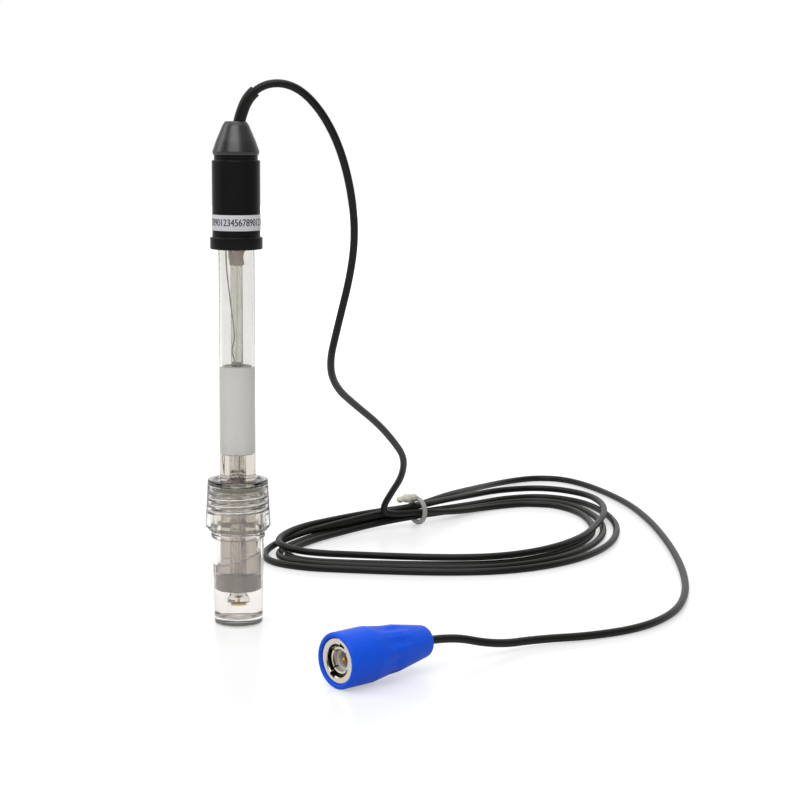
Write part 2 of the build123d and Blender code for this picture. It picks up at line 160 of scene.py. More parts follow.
# %% [markdown]
# ## Helpers for shapes
# Nearly every piece of a probe is turned, so one lathe does most of the work. Its outline is drawn as
# corners of radius and height in millimetres, and each corner is rounded as a mould or a tool would
# leave it. Faces are shaded smooth, and edges are marked sharp where faces meet at a real angle. An
# outline that starts on the axis is a line from axis to axis, and any other is a closed loop.

# %% Round an outline's corners


def rounded(corners, radius=0.3, steps=4, closed=True):
    """Corners (r, z) or (r, z, own radius) with an arc at each; an open outline keeps its ends."""
    outline = []
    count = len(corners)
    for index, corner in enumerate(corners):
        here = Vector(corner[:2])
        if not closed and index in (0, count - 1):
            outline.append(here)
            continue
        own = corner[2] if len(corner) > 2 else radius
        before = Vector(corners[index - 1][:2]) - here
        after = Vector(corners[(index + 1) % count][:2]) - here
        half = before.angle(after) / 2
        reach = min(own / math.tan(half), before.length * 0.49, after.length * 0.49)
        if reach < 0.01 or half > math.radians(88):
            outline.append(here)
            continue
        first = here + before.normalized() * reach
        last = here + after.normalized() * reach
        for step in range(steps + 1):
            share = step / steps
            outline.append(first * (1 - share) ** 2 + here * 2 * share * (1 - share) + last * share ** 2)
    return outline


def block(inside, outside, low, high):
    """The four corners of a plain ring, or of a disc when its inside is 0."""
    return [(inside, low), (outside, low), (outside, high), (inside, high)]


print("a ring with rounded corners has", len(rounded(block(1, 2, 0, 1))), "points")

# %% Make a mesh object from points and faces


def mesh_object(name, points, faces, material, sharp=38):
    """A smooth-shaded object at the origin; edges sharper than the angle stay sharp."""
    mesh = bpy.data.meshes.new(name)
    mesh.from_pydata(points, [], faces)
    work = bmesh.new()
    work.from_mesh(mesh)
    bmesh.ops.remove_doubles(work, verts=work.verts, dist=1e-7)
    bmesh.ops.dissolve_degenerate(work, edges=work.edges, dist=1e-7)
    bmesh.ops.recalc_face_normals(work, faces=work.faces)
    for face in work.faces:
        face.smooth = True
    for edge in work.edges:
        edge.smooth = len(edge.link_faces) != 2 or edge.calc_face_angle(0) < math.radians(sharp)
    work.to_mesh(mesh)
    work.free()
    mesh.materials.append(material)
    return new_object(name, mesh)


print(mesh_object.__doc__)

# %% Turn an outline on the lathe


def lathe(name, outline, material, around=96, shape=None):
    """Turns (r, z) points in mm about Z. shape(r, z, angle) may return another (r, z)."""
    points = []
    rows = len(outline)
    closed = outline[0][0] > 0
    for turn in range(around):
        angle = math.tau * turn / around
        for r, z in outline:
            if shape:
                r, z = shape(r, z, angle)
            points.append((r * math.cos(angle) * MM, r * math.sin(angle) * MM, z * MM))
    faces = []
    for turn in range(around):
        here = turn * rows
        there = (turn + 1) % around * rows
        for row in range(rows if closed else rows - 1):
            up = (row + 1) % rows
            faces.append((here + row, there + row, there + up, here + up))
    return mesh_object(name, points, faces, material)


print(lathe.__doc__)

# %% [markdown]
# A wire or cable follows a smooth line. The line is a NURBS spline through which the script only
# steers: its control points are listed, and Blender gives the points that lie on it. A round
# tube is then built along these points, with a frame that is carried along so that it never twists.

# %% Follow a spline with a tube


def spline_points(name, steering, steps=12):
    """Points on an open NURBS spline steered by points in metres."""
    curve = bpy.data.curves.new(name, "CURVE")
    curve.dimensions = "3D"
    curve.resolution_u = steps
    spline = curve.splines.new("NURBS")
    spline.points.add(len(steering) - 1)
    for point, place in zip(spline.points, steering):
        point.co = (*place, 1.0)
    spline.order_u = 3
    spline.use_endpoint_u = True
    holder = new_object(name, curve)
    bpy.context.view_layer.update()
    line = bpy.data.meshes.new_from_object(holder)
    places = [vertex.co.copy() for vertex in line.vertices]
    bpy.data.objects.remove(holder)
    bpy.data.meshes.remove(line)
    return places


def hose(name, line, radius, material, sides=12):
    """A round tube along points in metres, with its radius in mm and both ends closed."""
    count = len(line)
    side = None
    points = []
    for index, place in enumerate(line):
        before = line[max(index - 1, 0)]
        after = line[min(index + 1, count - 1)]
        along = (after - before).normalized()
        if side is None:
            side = along.orthogonal()
        side = (side - along * side.dot(along)).normalized()
        across = along.cross(side)
        for step in range(sides):
            angle = math.tau * step / sides
            points.append(place + (side * math.cos(angle) + across * math.sin(angle)) * (radius * MM))
    faces = []
    for index in range(count - 1):
        here, there = index * sides, (index + 1) * sides
        for step in range(sides):
            turn = (step + 1) % sides
            faces.append((here + step, here + turn, there + turn, there + step))
    faces.append(tuple(range(sides - 1, -1, -1)))
    faces.append(tuple(range((count - 1) * sides, count * sides)))
    return mesh_object(name, points, faces, material, sharp=60)


print(hose.__doc__)

# %% [markdown]
# Every finished piece is handed to the frame in the same way: it hangs from the body that carries it,
# and the nodes of the frame that it replaces are hidden.

# %% Hand a piece to the frame


def settle(piece, body, finish, *nodes):
    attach(piece, body)
    if nodes:
        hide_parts(*nodes)
    return piece


def span(node):
    """Lowest height, highest height and widest radius of a standing node, in mm."""
    low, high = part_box(node)
    return low.z / MM, high.z / MM, high.x / MM


print("the tube stands from", [round(x, 1) for x in span("outer_tube")])

# %% [markdown]
# ## The cable's line
# The cable is one piece, two and a half metres of thin coaxial cable. It leaves the cap, arches over
# and comes down to the coil, goes four times round it, always through the tie, and leaves for the
# plug. The arch and the run to the plug are points placed against the photograph.

# %% The arch from the cap to the tied bundle
lead_route = [
    (0, 0, 153), (0, 0, 161.5), (1.3, 0, 169.8), (4.2, 0.2, 176.9), (9.9, 0.8, 180.9), (16.9, 2, 181),
    (23.3, 4.1, 177.3), (29.5, 7, 169.4), (34.4, 10.2, 158.6), (37.7, 13.6, 144.9), (38.9, 17.6, 130.5),
    (37.2, 22.4, 116.5), (32.6, 28.6, 98), (29.2, 38, 83.5), (31.2, 54, 73), (38, 75, 63.5),
    (45.6, 95, 54), (51.6, 112, 44.5), (56.4, 127, 35), (55.4, 139, 25), (51, 147.2, 16.6),
    (47.9, 150.5, 10.6), (48, 151.8, 7.3), (53.5, 155, 6.2)]
tail_route = [
    (74, 187, 8), (85, 214, 5.4), (96, 242, 2.4), (106, 257, 1.5), (117, 265.2, 1.4), (129, 264.4, 1.4),
    (138.6, 253, 1.4), (147.5, 232, 1.4), (155.5, 204, 1.4), (160, 171, 1.4), (162, 136, 1.4),
    (162.4, 102, 1.4), (161, 68, 1.4), (157.4, 38, 1.4), (150, 11, 1.4), (136.5, -9.6, 1.4),
    (118, -21, 1.4), (100, -27.6, 2), (85.5, -39.6, 3.2)]
print("points in the arch", len(lead_route), "and in the run to the plug", len(tail_route))

# %% [markdown]
# A loosely wound coil isn't a spiral. Each turn keeps its own lane, drifts over its neighbours where
# nothing holds it, and fans out at the far side. So the coil has a middle line with 22 stations,
# clockwise from the tie, and each turn has a few keys: at this station, so far out, at this height.
# A loop fills in the stations between the keys.

# %% The four turns of the coil
coil_middle = [
    (62, 164), (76, 180), (90, 197), (104, 209.5), (118, 214), (130.5, 206), (138.5, 189), (142, 167),
    (141, 144), (134.5, 121), (123, 101), (108.5, 86.5), (92, 78), (73, 76), (53, 77.5), (36, 80),
    (20.5, 83.5), (9.5, 91), (7.5, 106), (16.5, 125), (30, 142), (45.5, 155)]
stations = len(coil_middle)
bundle_height = 5.95
tie_places = [(-2.5, -0.1), (-0.8, -2.05), (2.05, -1.3), (-0.75, 2.05), (2.05, 1.3)]
turn_keys = [
    {1: (-3, 2.6), 2: (-3.6, 1.35), 4: (-12, 1.35), 6: (-7.5, 1.35), 8: (-6.5, 1.35),
     13: (-6.5, 1.35), 16: (-3.6, 1.35), 18: (-2.8, 1.35), 20: (-2.5, 1.8)},
    {2: (-0.4, 1.4), 4: (-4.5, 1.35), 6: (-3, 1.35), 8: (-2.2, 1.35), 10: (-1, 1.35),
     13: (-0.5, 1.35), 16: (1, 1.35), 18: (0.6, 1.35), 19: (0.6, 1.6), 20: (1.2, 2.5)},
    {2: (3.2, 2), 4: (7, 1.35), 6: (3.5, 1.35), 8: (3.2, 1.35), 10: (5.2, 1.35), 13: (6.4, 1.35),
     15: (6.6, 1.35), 16: (7.6, 1.35), 17: (7.4, 1.35), 18: (6, 1.7), 19: (3, 3.9), 20: (-0.8, 5.2)},
    {1: (3.2, 7), 2: (7.5, 5), 4: (12, 4.4), 6: (4, 4.8), 8: (-5.5, 4.4), 10: (-6.5, 4.2),
     13: (-6.6, 4.1), 15: (-8.2, 3.8), 16: (-10, 3.2), 17: (-5, 4.2), 18: (2.5, 4.8), 19: (5, 5.8),
     20: (3.4, 6)}]


def outward(station):
    """The direction out of the coil at a station, in plan."""
    before = Vector(coil_middle[station - 1])
    after = Vector(coil_middle[(station + 1) % stations])
    along = (after - before).normalized()
    return Vector((-along.y, along.x))


def coil_place(station, out, height):
    spot = Vector(coil_middle[station]) + outward(station) * out
    return (spot.x, spot.y, height)


turn_points = []
for number, keys in enumerate(turn_keys):
    for station, (out, lift) in ((0, tie_places[number]), (stations, tie_places[number + 1])):
        keys[station] = (out, bundle_height + lift)
    marks = sorted(keys)
    for station in range(stations):
        before = max(mark for mark in marks if mark <= station)
        after = min(mark for mark in marks if mark > station)
        share = (station - before) / (after - before)
        out, height = (a + (b - a) * share for a, b in zip(keys[before], keys[after]))
        turn_points.append(coil_place(station, out, height))
tie_out, tie_lift = tie_places[-1]
turn_points.append(coil_place(0, tie_out, bundle_height + tie_lift))
print("control points in the coil", len(turn_points))

# %% [markdown]
# ## The plug's place
# The plug lies on the ground in front, pointing away to the right. Its pieces are turned upright
# about Z, from the front face up, and one matrix lays them down: the plug's axis is the matrix's third
# column, straight up is its first. The axis starts in the middle of the boot's front face, as high
# above the ground as the boot's radius, because the boot rests on its front band.

# %% Lay the plug down
plug_heading = math.radians(42)
plug_band_radius = 8.7
plug_front = Vector((35.37, -79.54, plug_band_radius))
plug_axis = Vector((math.cos(plug_heading), math.sin(plug_heading), 0))
plug_side = Vector((math.sin(plug_heading), -math.cos(plug_heading), 0))
lay_down = Matrix.Translation(plug_front * MM) @ Matrix((
    (0, plug_side.x, plug_axis.x, 0), (0, plug_side.y, plug_axis.y, 0), (1, 0, 0, 0), (0, 0, 0, 1)))


def on_plug(place):
    return tuple(plug_front + plug_axis * place)


def lay(piece):
    piece.data.transform(lay_down)
    return piece


cable_straight_from, cable_end = 46, 31
cable_way = lead_route + turn_points + tail_route + [on_plug(cable_straight_from), on_plug(cable_end)]
cable_line = spline_points("cable_line", [Vector(place) * MM for place in cable_way], 10)

# %% [markdown]
# ## The cable
# The jacket is soft black PVC, extruded, which gives the eye a dull sheen on a warm near-black that
# drifts a little along the way. A tube of 12 sides is enough at 2.7 mm.

# %% Cable jacket and the cable itself
cable_pvc = start_material("soft_black_pvc_jacket", "#0C0D0A", 0.4, grain=0.5, bump=0.01,
                           tone="#141511", drift=9.0, Specular_IOR_Level=0.3)
cable_radius = 1.35
cable = hose("cable", cable_line, cable_radius, cable_pvc)
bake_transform(cable)
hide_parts("cable_lead", "cable_coil", "cable_tail")
print("cable faces", len(cable.data.polygons))

# %% [markdown]
# ## Clear plastics and glass
# Clear things show mostly what lies behind and beside them, so their look comes from shape, wall
# thickness and refractive index. A trace of colour keeps them from looking like air.

# %% Clear materials
# Moulded in a polished tool: clear as glass, with bright edges and slow waves in its reflections
bottle_styrene = start_material("moulded_clear_styrene", "#F5F3F1", 0.02, grain=2.5, bump=0.012,
                                Transmission_Weight=1.0, IOR=1.55)
# Moulded thicker: a little greyer, so that its thread shows as bands
cap_styrene = start_material("clear_grey_styrene", "#F1F0EC", 0.03, grain=1.8, bump=0.012,
                             Transmission_Weight=1.0, IOR=1.55)
# Drawn glass: a hard, even shine in long upright lines
tube_glass = start_material("drawn_borosilicate_glass", "#E9E8E5", 0.015, grain=6.0, bump=0.01,
                            Transmission_Weight=1.0, IOR=1.47)
# Salt water: nearly invisible but for its surface and what it bends
solution = start_material("storage_salt_solution", "#FBFAF9", 0.0, grain=3.0,
                          Transmission_Weight=1.0, IOR=1.34)
# Cast silicone: hazy and dull beside the clear plastic
soft_silicone = start_material("translucent_silicone", "#B9B6AE", 0.35, grain=0.8, bump=0.02,
                               Transmission_Weight=0.45, IOR=1.41)
print("clear materials", [m.name for m in (bottle_styrene, cap_styrene, tube_glass, solution)])

# %% [markdown]
# ## Storage bottle
# The bottle is a thick-walled moulding that widens slightly upwards, with a hollow foot, a bead under
# the cap and a threaded neck. The thread is part of the same closed skin, because a separate ribbon
# inside the wall would show as a second surface. The lathe's shape function lifts the neck by a
# rounded ridge that climbs one pitch a turn and fades out at both ends.

# %% Turn the bottle
thread_pitch = 2.2
thread_rise = 0.65
thread_bottom, thread_top = 38.2, 45.6


def ridge(z, angle, rise, low, high):
    """Height of a helical ridge at a place on a neck or in a cap."""
    phase = (z - low) / thread_pitch - angle / math.tau
    crest = max(0.0, math.cos(math.tau * phase)) ** 1.5
    fade = min(1.0, max(0.0, (z - low) / 1.2)) * min(1.0, max(0.0, (high - z) / 1.2))
    return rise * crest * fade


def neck_shape(r, z, angle):
    if r > 8.3 and thread_bottom < z < thread_top:
        r += ridge(z, angle, thread_rise, thread_bottom, thread_top)
    return r, z


foot_radius, bead_radius, neck_radius, neck_bore = 8.1, 9.05, 8.6, 7.4
bead_low, bead_high, neck_high = 29.9, 31, 46
neck_rows = [(neck_radius, 35.6 + 0.12 * step) for step in range(82)]
bottle_outline = rounded([
    (0, 0.4), (5.3, 0.45), (5.9, 0, 0.25), (foot_radius, 0, 0.9), (8.72, 29.6), (bead_radius, bead_low),
    (bead_radius, bead_high), (neck_radius, bead_high + 0.2)], 0.25, closed=False)
bottle_outline += neck_rows
bottle_outline += rounded([
    (neck_radius, 45.4), (neck_radius, neck_high), (neck_bore, neck_high), (7.3, 32), (6.8, 2.6, 0.9),
    (6.0, 2.5), (0, 2.9)], 0.25, closed=False)
bottle = settle(
    lathe("bottle_glass", bottle_outline, bottle_styrene, around=144, shape=neck_shape),
    "bottle", "bottle_clear", "storage_bottle")
print("bottle", len(bottle.data.polygons), "faces")

# %% [markdown]
# ## Storage solution
# The liquid wets the wall and climbs it on the right, so its surface leans. It overlaps the plastic
# by a hair: light then crosses from plastic straight to liquid, with no film of air between them.

# %% Pour the solution
overlap = 0.03
liquid_wall = 6.98
still_height, drawn_surface = 13, 23
surface_middle, surface_lean = 22.3, 0.36
tube_foot, tube_head, tube_out = span("outer_tube")
disc_foot, disc_head, disc_out = span("sensor_disc")
stem_low, stem_high, foot_out = span("inner_stem")
foot_high, flare_high = stem_low + 1.5, stem_low + 3.3
stem_out = 2.0


def liquid_level(r, angle):
    """Height of the surface, leaning with the angle and curling up at the wall and the tube."""
    climb = 0.9 * math.exp(-(liquid_wall - r) / 0.35) + 0.35 * math.exp(-(r - tube_out) / 0.3)
    return surface_middle + surface_lean * r * math.cos(angle - 0.3) + climb


def liquid_shape(r, z, angle):
    """Stretches the rows above the still height up to the leaning surface."""
    if z > still_height:
        rise = liquid_level(min(r, liquid_wall), angle) - still_height
        z = still_height + rise * (z - still_height) / (drawn_surface - still_height)
    return r, z


wall_rows = [(6.83 + 0.0172 * (z - 2.5), z) for z in (3.4, 8, still_height, 16, 19, 22.9)]
surface_rows = [(liquid_wall - step * 0.1, drawn_surface) for step in range(1, 10)]
solution_outline = [Vector((0, 2.87)), Vector((5.9, 2.47)), Vector((6.5, 2.6)), Vector((6.8, 3.0))]
solution_outline += wall_rows + surface_rows
wet_tube, wet_stem, wet_foot = tube_out - overlap, stem_out - overlap, foot_out - overlap
solution_outline += [
    (wet_tube, 22.95), (wet_tube, still_height), (wet_tube, tube_foot - overlap),
    (wet_stem, tube_foot - overlap), (wet_stem, flare_high), (wet_foot, foot_high), (wet_foot, disc_head),
    (disc_out, disc_head - overlap), (disc_out, disc_foot + overlap), (0, disc_foot + overlap)]
settle(lathe("solution", solution_outline, solution, shape=liquid_shape),
       "bottle", "liquid", "storage_solution")
print("solution outline", len(solution_outline), "points")

# %% [markdown]
# ## Seal and screw cap
# A soft ring under the cap grips the glass. The cap is a thick clear moulding with a dished top, a
# wall that widens downwards, a bevelled lower edge and a thread inside that runs in the bottle's.

# %% Seal ring and bottle cap
seal_low, seal_high, seal_out = span("seal_ring")
seal = rounded(block(6.05, seal_out, seal_low, seal_high), 0.35)
settle(lathe("seal", seal, soft_silicone), "seal", "soft_seal", "seal_ring")
cap_low, cap_high, _ = span("bottle_cap")
cap_bore, skirt_radius, cap_top_radius = 9.45, 10.95, 10.1
dish_high = cap_high - 0.5
cap_thread_depth, cap_thread_low, cap_thread_high = 0.45, 38.6, 47.4


def cap_shape(r, z, angle):
    if 9.3 < r < cap_bore + 0.01 and 34.5 < z < 46:
        r -= ridge(z + thread_pitch / 2, angle, cap_thread_depth, cap_thread_low, cap_thread_high)
    return r, z


inside_rows = [(cap_bore, 46.2 - 0.14 * step) for step in range(84)]
cap_outline = rounded([
    (cap_bore, 33.8), (cap_bore, cap_low + 0.3), (9.6, cap_low, 0.2), (9.75, cap_low, 0.2),
    (skirt_radius, cap_low + 1.5, 0.3), (cap_top_radius, cap_high, 0.6), (7.9, cap_high, 0.2),
    (7.6, dish_high, 0.2), (6.7, dish_high, 0.3), (6.4, seal_high, 0.2), (cap_bore, seal_high, 0.3)],
    0.25, closed=False)
cap_outline += inside_rows
settle(lathe("screw_cap", cap_outline, cap_styrene, around=144, shape=cap_shape),
       "bottle_cap", "cap_clear", "bottle_cap")
print("cap from", round(cap_low, 1), "to", round(cap_high, 1))

# %% [markdown]
# ## The glass electrode
# A glass tube surrounds a thin glass stem. From below: a porous ring lets the filling touch the
# solution, then comes clear electrolyte, then a milky gel, then air with the silver reference wire.

# %% Tube and stem
fired_edge = 0.35
tube_bore, stem_bore = 5.1, 1.5
tube = rounded(block(tube_bore, tube_out, tube_foot, tube_head), fired_edge)
settle(lathe("glass_tube", tube, tube_glass, around=128), "probe", "electrode_glass", "outer_tube")
stem = rounded([
    (0, stem_low), (foot_out, stem_low, 0.4), (foot_out, foot_high, 0.8), (stem_out, flare_high, 0.8),
    (stem_out, stem_high), (stem_bore, stem_high), (stem_bore, stem_low + 2, 1.0), (0, stem_low + 1.6)],
    0.2, closed=False)
settle(lathe("glass_stem", stem, tube_glass, around=64),
       "probe", "electrode_glass", "inner_stem")
print("stem from", round(stem_low, 1), "to", round(stem_high, 1))

# %% Fillings
# Clear electrolyte: bends the light like water, a shade warmer
clear_filling = start_material("potassium_chloride_solution", "#FAF5F1", 0.0, grain=3.0,
                               Transmission_Weight=1.0, IOR=1.36)
# Thickened with a white filler: an even, soft, milky white
milky_gel = start_material("thickened_salt_gel", "#FEFDFB", 0.5, grain=1.5, tone="#FBFAF6", drift=12.0,
                           IOR=1.37)
# Sintered: matt and finely grained, off-white
porous_ceramic = start_material("sintered_porous_ceramic", "#FFFAF0", 0.75, grain=0.18, bump=0.05,
                                tone="#FCF4E6", drift=3.0)
junction_low, junction_high, _ = span("junction_plug")
clear_low, clear_high, _ = span("lower_electrolyte")
gel_low, gel_high, _ = span("reference_gel")


def filling(name, low, high, material, finish, node, gap):
    """A ring between stem and tube; a negative gap overlaps the glass."""
    ring = rounded(block(stem_out + gap, tube_bore - gap, low, high), 0.25)
    return settle(lathe(name, ring, material, around=64), "probe", finish, node)


filling("junction_ring", junction_low, junction_high, porous_ceramic,
        "junction_beige", "junction_plug", -0.01)
filling("clear_electrolyte", clear_low, clear_high, clear_filling, "clear_fill", "lower_electrolyte", -0.02)
filling("milky_filling", gel_low, gel_high, milky_gel, "gel", "reference_gel", -0.02)
print("gel from", round(gel_low, 1), "to", round(gel_high, 1))

# %% [markdown]
# ## Sensor
# The sensor is a small noble-metal disc fused to the stem's flared end, with its lead-in above it. A
# thin silver wire runs up the stem, and the reference wire wanders down into the gel.

# %% Disc and pin
# Polished gold: a small yellow mirror
sensor_gold = start_material("polished_gold", "#E9C75C", 0.22, grain=0.3, bump=0.008, tone="#D4B148",
                             Metallic=1.0)
# Silver with a chloride coat: grey and dull, patchy along the wire
silver_wire = start_material("chlorided_silver", "#A5A59B", 0.5, grain=0.25, bump=0.02, tone="#C4C4BA",
                             drift=1.5, Metallic=0.7)
# Drawn silver: a fine bright line
bright_silver = start_material("bright_silver", "#D6D4CE", 0.3, grain=0.25, Metallic=1.0)
disc = rounded(block(0, disc_out, disc_foot, disc_head), 0.2, closed=False)
settle(lathe("sensor", disc, sensor_gold, around=64), "probe", "gold", "sensor_disc")
pin_low, pin_high, pin_out = span("sensor_pin")
pin = rounded(block(0, pin_out, pin_low, pin_high), 0.12, closed=False)
settle(lathe("lead_in", pin, sensor_gold, around=32), "probe", "gold", "sensor_pin")
print("sensor disc", round(2 * disc_out, 1), "mm across")

# %% Wires
wire_low, wire_high, _ = span("signal_wire")
cavity_high = 153
signal_way = spline_points("signal_way", [
    Vector(place) * MM for place in ((0, 0, wire_low), (0.5, 0.3, 40), (-0.4, 0.2, 80), (0.4, -0.3, 120),
                                     (0, 0, wire_high))])
settle(hose("signal_lead", signal_way, 0.09, bright_silver, sides=8), "probe", "silver_wire", "signal_wire")
reference_way = spline_points("reference_way", [
    Vector(place) * MM for place in (
        (-0.7, -0.7, cavity_high), (-0.7, -0.7, 148), (-3.1, -3.1, 143), (-3.1, -3.2, 123),
        (-2.7, -3.4, 118), (-1.6, -3.5, 108), (-0.8, -3.5, 102), (-0.4, -3.6, 97), (-1.7, -3.6, 93),
        (0.2, -3.6, 88.9), (0.2, -3.6, 80))])
settle(hose("reference_lead", reference_way, 0.2, silver_wire, sides=10),
       "probe", "silver_wire", "reference_wire")
print("wire points", len(signal_way), len(reference_way))

# %% [markdown]
# ## Closing the tube
# Under the cap a loose, uneven bead of potting that widens upwards holds the stem. The same potting
# fills the cap over the tube's end.

# %% Potting
# Poured epoxy: beige, matt and lumpy
potting = start_material("beige_epoxy_potting", "#FAF2EA", 0.6, grain=0.6, bump=0.08, tone="#EFE0D4",
                         drift=1.6, Transmission_Weight=0.3, IOR=1.5)
stopper_low, stopper_high, _ = span("tube_stopper")


def bead_shape(r, z, angle):
    """Uneven sides below, where the bead isn't held by the tube."""
    if r > stem_out + 0.2 and z < stopper_low + 6:
        r += 0.25 * math.sin(3 * angle + z) + 0.15 * math.sin(5 * angle - 2 * z)
    return r, z


seated = tube_bore + 0.02
bead = rounded([
    (stem_out, stopper_low), (2.25, stopper_low + 0.4), (2.4, stopper_low + 3), (2.8, stopper_low + 5.2),
    (seated, stopper_low + 6.8), (seated, stopper_high), (stem_out, stopper_high)], 0.5)
settle(lathe("potting_bead", bead, potting, around=48, shape=bead_shape),
       "probe", "potting_beige", "tube_stopper")
potting_low, potting_high, _ = span("cap_potting")
over_stem, potting_out = 141.2, 5.38
fill = rounded([
    (0, over_stem), (2.2, over_stem), (2.2, potting_low), (potting_out, potting_low),
    (potting_out, potting_high), (0, potting_high)], 0.3, closed=False)
settle(lathe("cap_filling", fill, potting, around=48), "probe", "potting_beige", "cap_potting")
print("potting up to", round(potting_high, 1))

# %% [markdown]
# ## Electrode cap, boot and sleeve
# The cap is moulded with a flange and a groove under its boot. The boot is a softer cone on the cap's
# spigot, and a short cut length of tubing stiffens the cable where it comes out.

# %% Cap and boot
# Moulded ABS with a fine spark-eroded skin: an even, deep, slightly dull black
black_abs = start_material("moulded_black_abs", "#121312", 0.34, grain=0.35, bump=0.006, tone="#171817",
                           Specular_IOR_Level=0.18)
# Soft PVC, moulded smooth: black with one broad grey sheen down the cone
black_pvc = start_material("soft_black_pvc_boot", "#151618", 0.33, grain=0.5, bump=0.015, tone="#1C1D20",
                           Specular_IOR_Level=0.85)
body_low, body_high, flange_out = span("electrode_cap")
flange_top = body_low + 4
body_out = 7.95
shoulder = flange_top + 25.2
groove_top = shoulder + 1.7
socket, groove_radius, spigot_radius, cable_way_radius = tube_out + 0.03, 7.2, 5.6, 1.3
cap = rounded([
    (0, cavity_high), (5.4, cavity_high), (5.4, tube_head), (socket, tube_head), (socket, body_low + 0.3),
    (tube_out + 0.4, body_low, 0.2), (flange_out, body_low, 0.5), (flange_out, flange_top, 0.45),
    (body_out, flange_top, 0.2), (body_out, shoulder, 0.35), (groove_radius, shoulder, 0.15),
    (groove_radius, groove_top, 0.1), (spigot_radius, groove_top, 0.1), (spigot_radius, body_high),
    (cable_way_radius, body_high), (cable_way_radius, cavity_high + 0.4), (0, cavity_high + 0.4)],
    0.15, closed=False)
settle(lathe("black_cap", cap, black_abs, around=128), "probe", "black_cap", "electrode_cap")
boot_low, boot_high, boot_out = span("cable_boot")
boot_bore, sleeve_way = spigot_radius + 0.05, 2.05
boot = rounded([
    (boot_bore, boot_low), (boot_out - 0.25, boot_low, 0.3), (boot_out, boot_low + 1.1, 0.5),
    (6.5, boot_low + 4.7, 6), (4.35, boot_high - 1.3, 1.2), (3.5, boot_high, 0.7),
    (sleeve_way, boot_high, 0.2), (sleeve_way, body_high + 0.1), (boot_bore, body_high + 0.1)], 0.15)
settle(lathe("cone_boot", boot, black_pvc, around=128), "probe", "black_rubber", "cable_boot")
print("cap from", round(body_low, 1), "boot up to", round(boot_high, 1))

# %% Sleeve over the cable


def nearest(place):
    """The index of the cable's point nearest to a place in millimetres."""
    place = Vector(place) * MM
    return min(range(len(cable_line)), key=lambda index: (cable_line[index] - place).length)


sleeve_line = cable_line[nearest((0, 0, 161)):nearest((6.4, 0.4, 178.4)) + 1]
sleeve = hose("sleeve", sleeve_line, 2.0, cable_pvc, sides=24)
settle(sleeve, "probe", "black_rubber", "strain_sleeve")
print("sleeve points", len(sleeve_line))

# %% [markdown]
# ## Label
# A white film band goes round the cap. Its print is a plain row of counting digits. Geometry Nodes
# set the type and bend it: String to Curves makes the digits and Fill Curve gives them faces. Three
# copies within a tenth of a millimetre make the strokes bold. Set Position stretches the digits and
# turns the distance along the line into an angle round the band.

# %% Band
# Polyester film: white with a faint cool cast and a smooth low shine
label_film = start_material("white_polyester_film", "#DCDCE2", 0.38, grain=0.7, bump=0.006, tone="#E4E4E8")
# Thermal print: flat blue-black
ink = start_material("black_thermal_print", "#151519", 0.5, grain=0.3, tone="#25252B", drift=0.8)
label_low, label_high, label_out = span("cap_label")
band = rounded(block(body_out, label_out, label_low, label_high), 0.04, steps=2)
settle(lathe("label_band", band, label_film, around=128), "probe", "label_white", "cap_label")
print("band", round(label_high - label_low, 1), "mm high")

# %% The digits' tree
tree = bpy.data.node_groups.new("bent_digits", "GeometryNodeTree")
for name, kind in (("Text", "String"), ("Size", "Float"), ("Stretch", "Float"), ("Radius", "Float"),
                   ("Height", "Float"), ("Bolder", "Vector"), ("Ink", "Material")):
    tree.interface.new_socket(name, in_out="INPUT", socket_type=f"NodeSocket{kind}")
tree.interface.new_socket("Geometry", in_out="OUTPUT", socket_type="NodeSocketGeometry")
given = add_node(tree, "NodeGroupInput").outputs
words = add_node(tree, "GeometryNodeStringToCurves", {"String": given["Text"], "Size": given["Size"]},
                 align_x="CENTER", align_y="MIDDLE")
filled = add_node(tree, "GeometryNodeFillCurve", {"Curve": words.outputs["Curve Instances"]})
bold = add_node(tree, "GeometryNodeJoinGeometry")
for share in (0.0, 0.5, 1.0):
    aside = add_node(tree, "ShaderNodeVectorMath", {0: given["Bolder"], 1: (share, share, share)},
                     operation="MULTIPLY")
    copied = add_node(tree, "GeometryNodeTransform", {
        "Geometry": filled.outputs["Mesh"], "Translation": aside.outputs["Vector"]})
    tree.links.new(copied.outputs["Geometry"], bold.inputs["Geometry"])
real = add_node(tree, "GeometryNodeRealizeInstances", {"Geometry": bold.outputs["Geometry"]})
flat = add_node(tree, "ShaderNodeSeparateXYZ", {
    "Vector": add_node(tree, "GeometryNodeInputPosition").outputs["Position"]})
turn = add_node(tree, "ShaderNodeMath", {0: flat.outputs["X"], 1: given["Radius"]}, operation="DIVIDE")
reach_out = add_node(tree, "ShaderNodeMath", {0: flat.outputs["Z"], 1: given["Radius"]})
bent = {}
for axis, operation, sign in (("X", "SINE", 1.0), ("Y", "COSINE", -1.0)):
    wave = add_node(tree, "ShaderNodeMath", {0: turn.outputs[0]}, operation=operation)
    far = add_node(tree, "ShaderNodeMath", {0: wave.outputs[0], 1: reach_out.outputs[0]},
                   operation="MULTIPLY")
    signed = add_node(tree, "ShaderNodeMath", {0: far.outputs[0], 1: sign}, operation="MULTIPLY")
    bent[axis] = signed.outputs[0]
tall = add_node(tree, "ShaderNodeMath", {0: flat.outputs["Y"], 1: given["Stretch"], 2: given["Height"]},
                operation="MULTIPLY_ADD")
bent["Z"] = tall.outputs[0]
place = add_node(tree, "ShaderNodeCombineXYZ", bent)
moved = add_node(tree, "GeometryNodeSetPosition", {
    "Geometry": real.outputs["Geometry"], "Position": place.outputs["Vector"]})
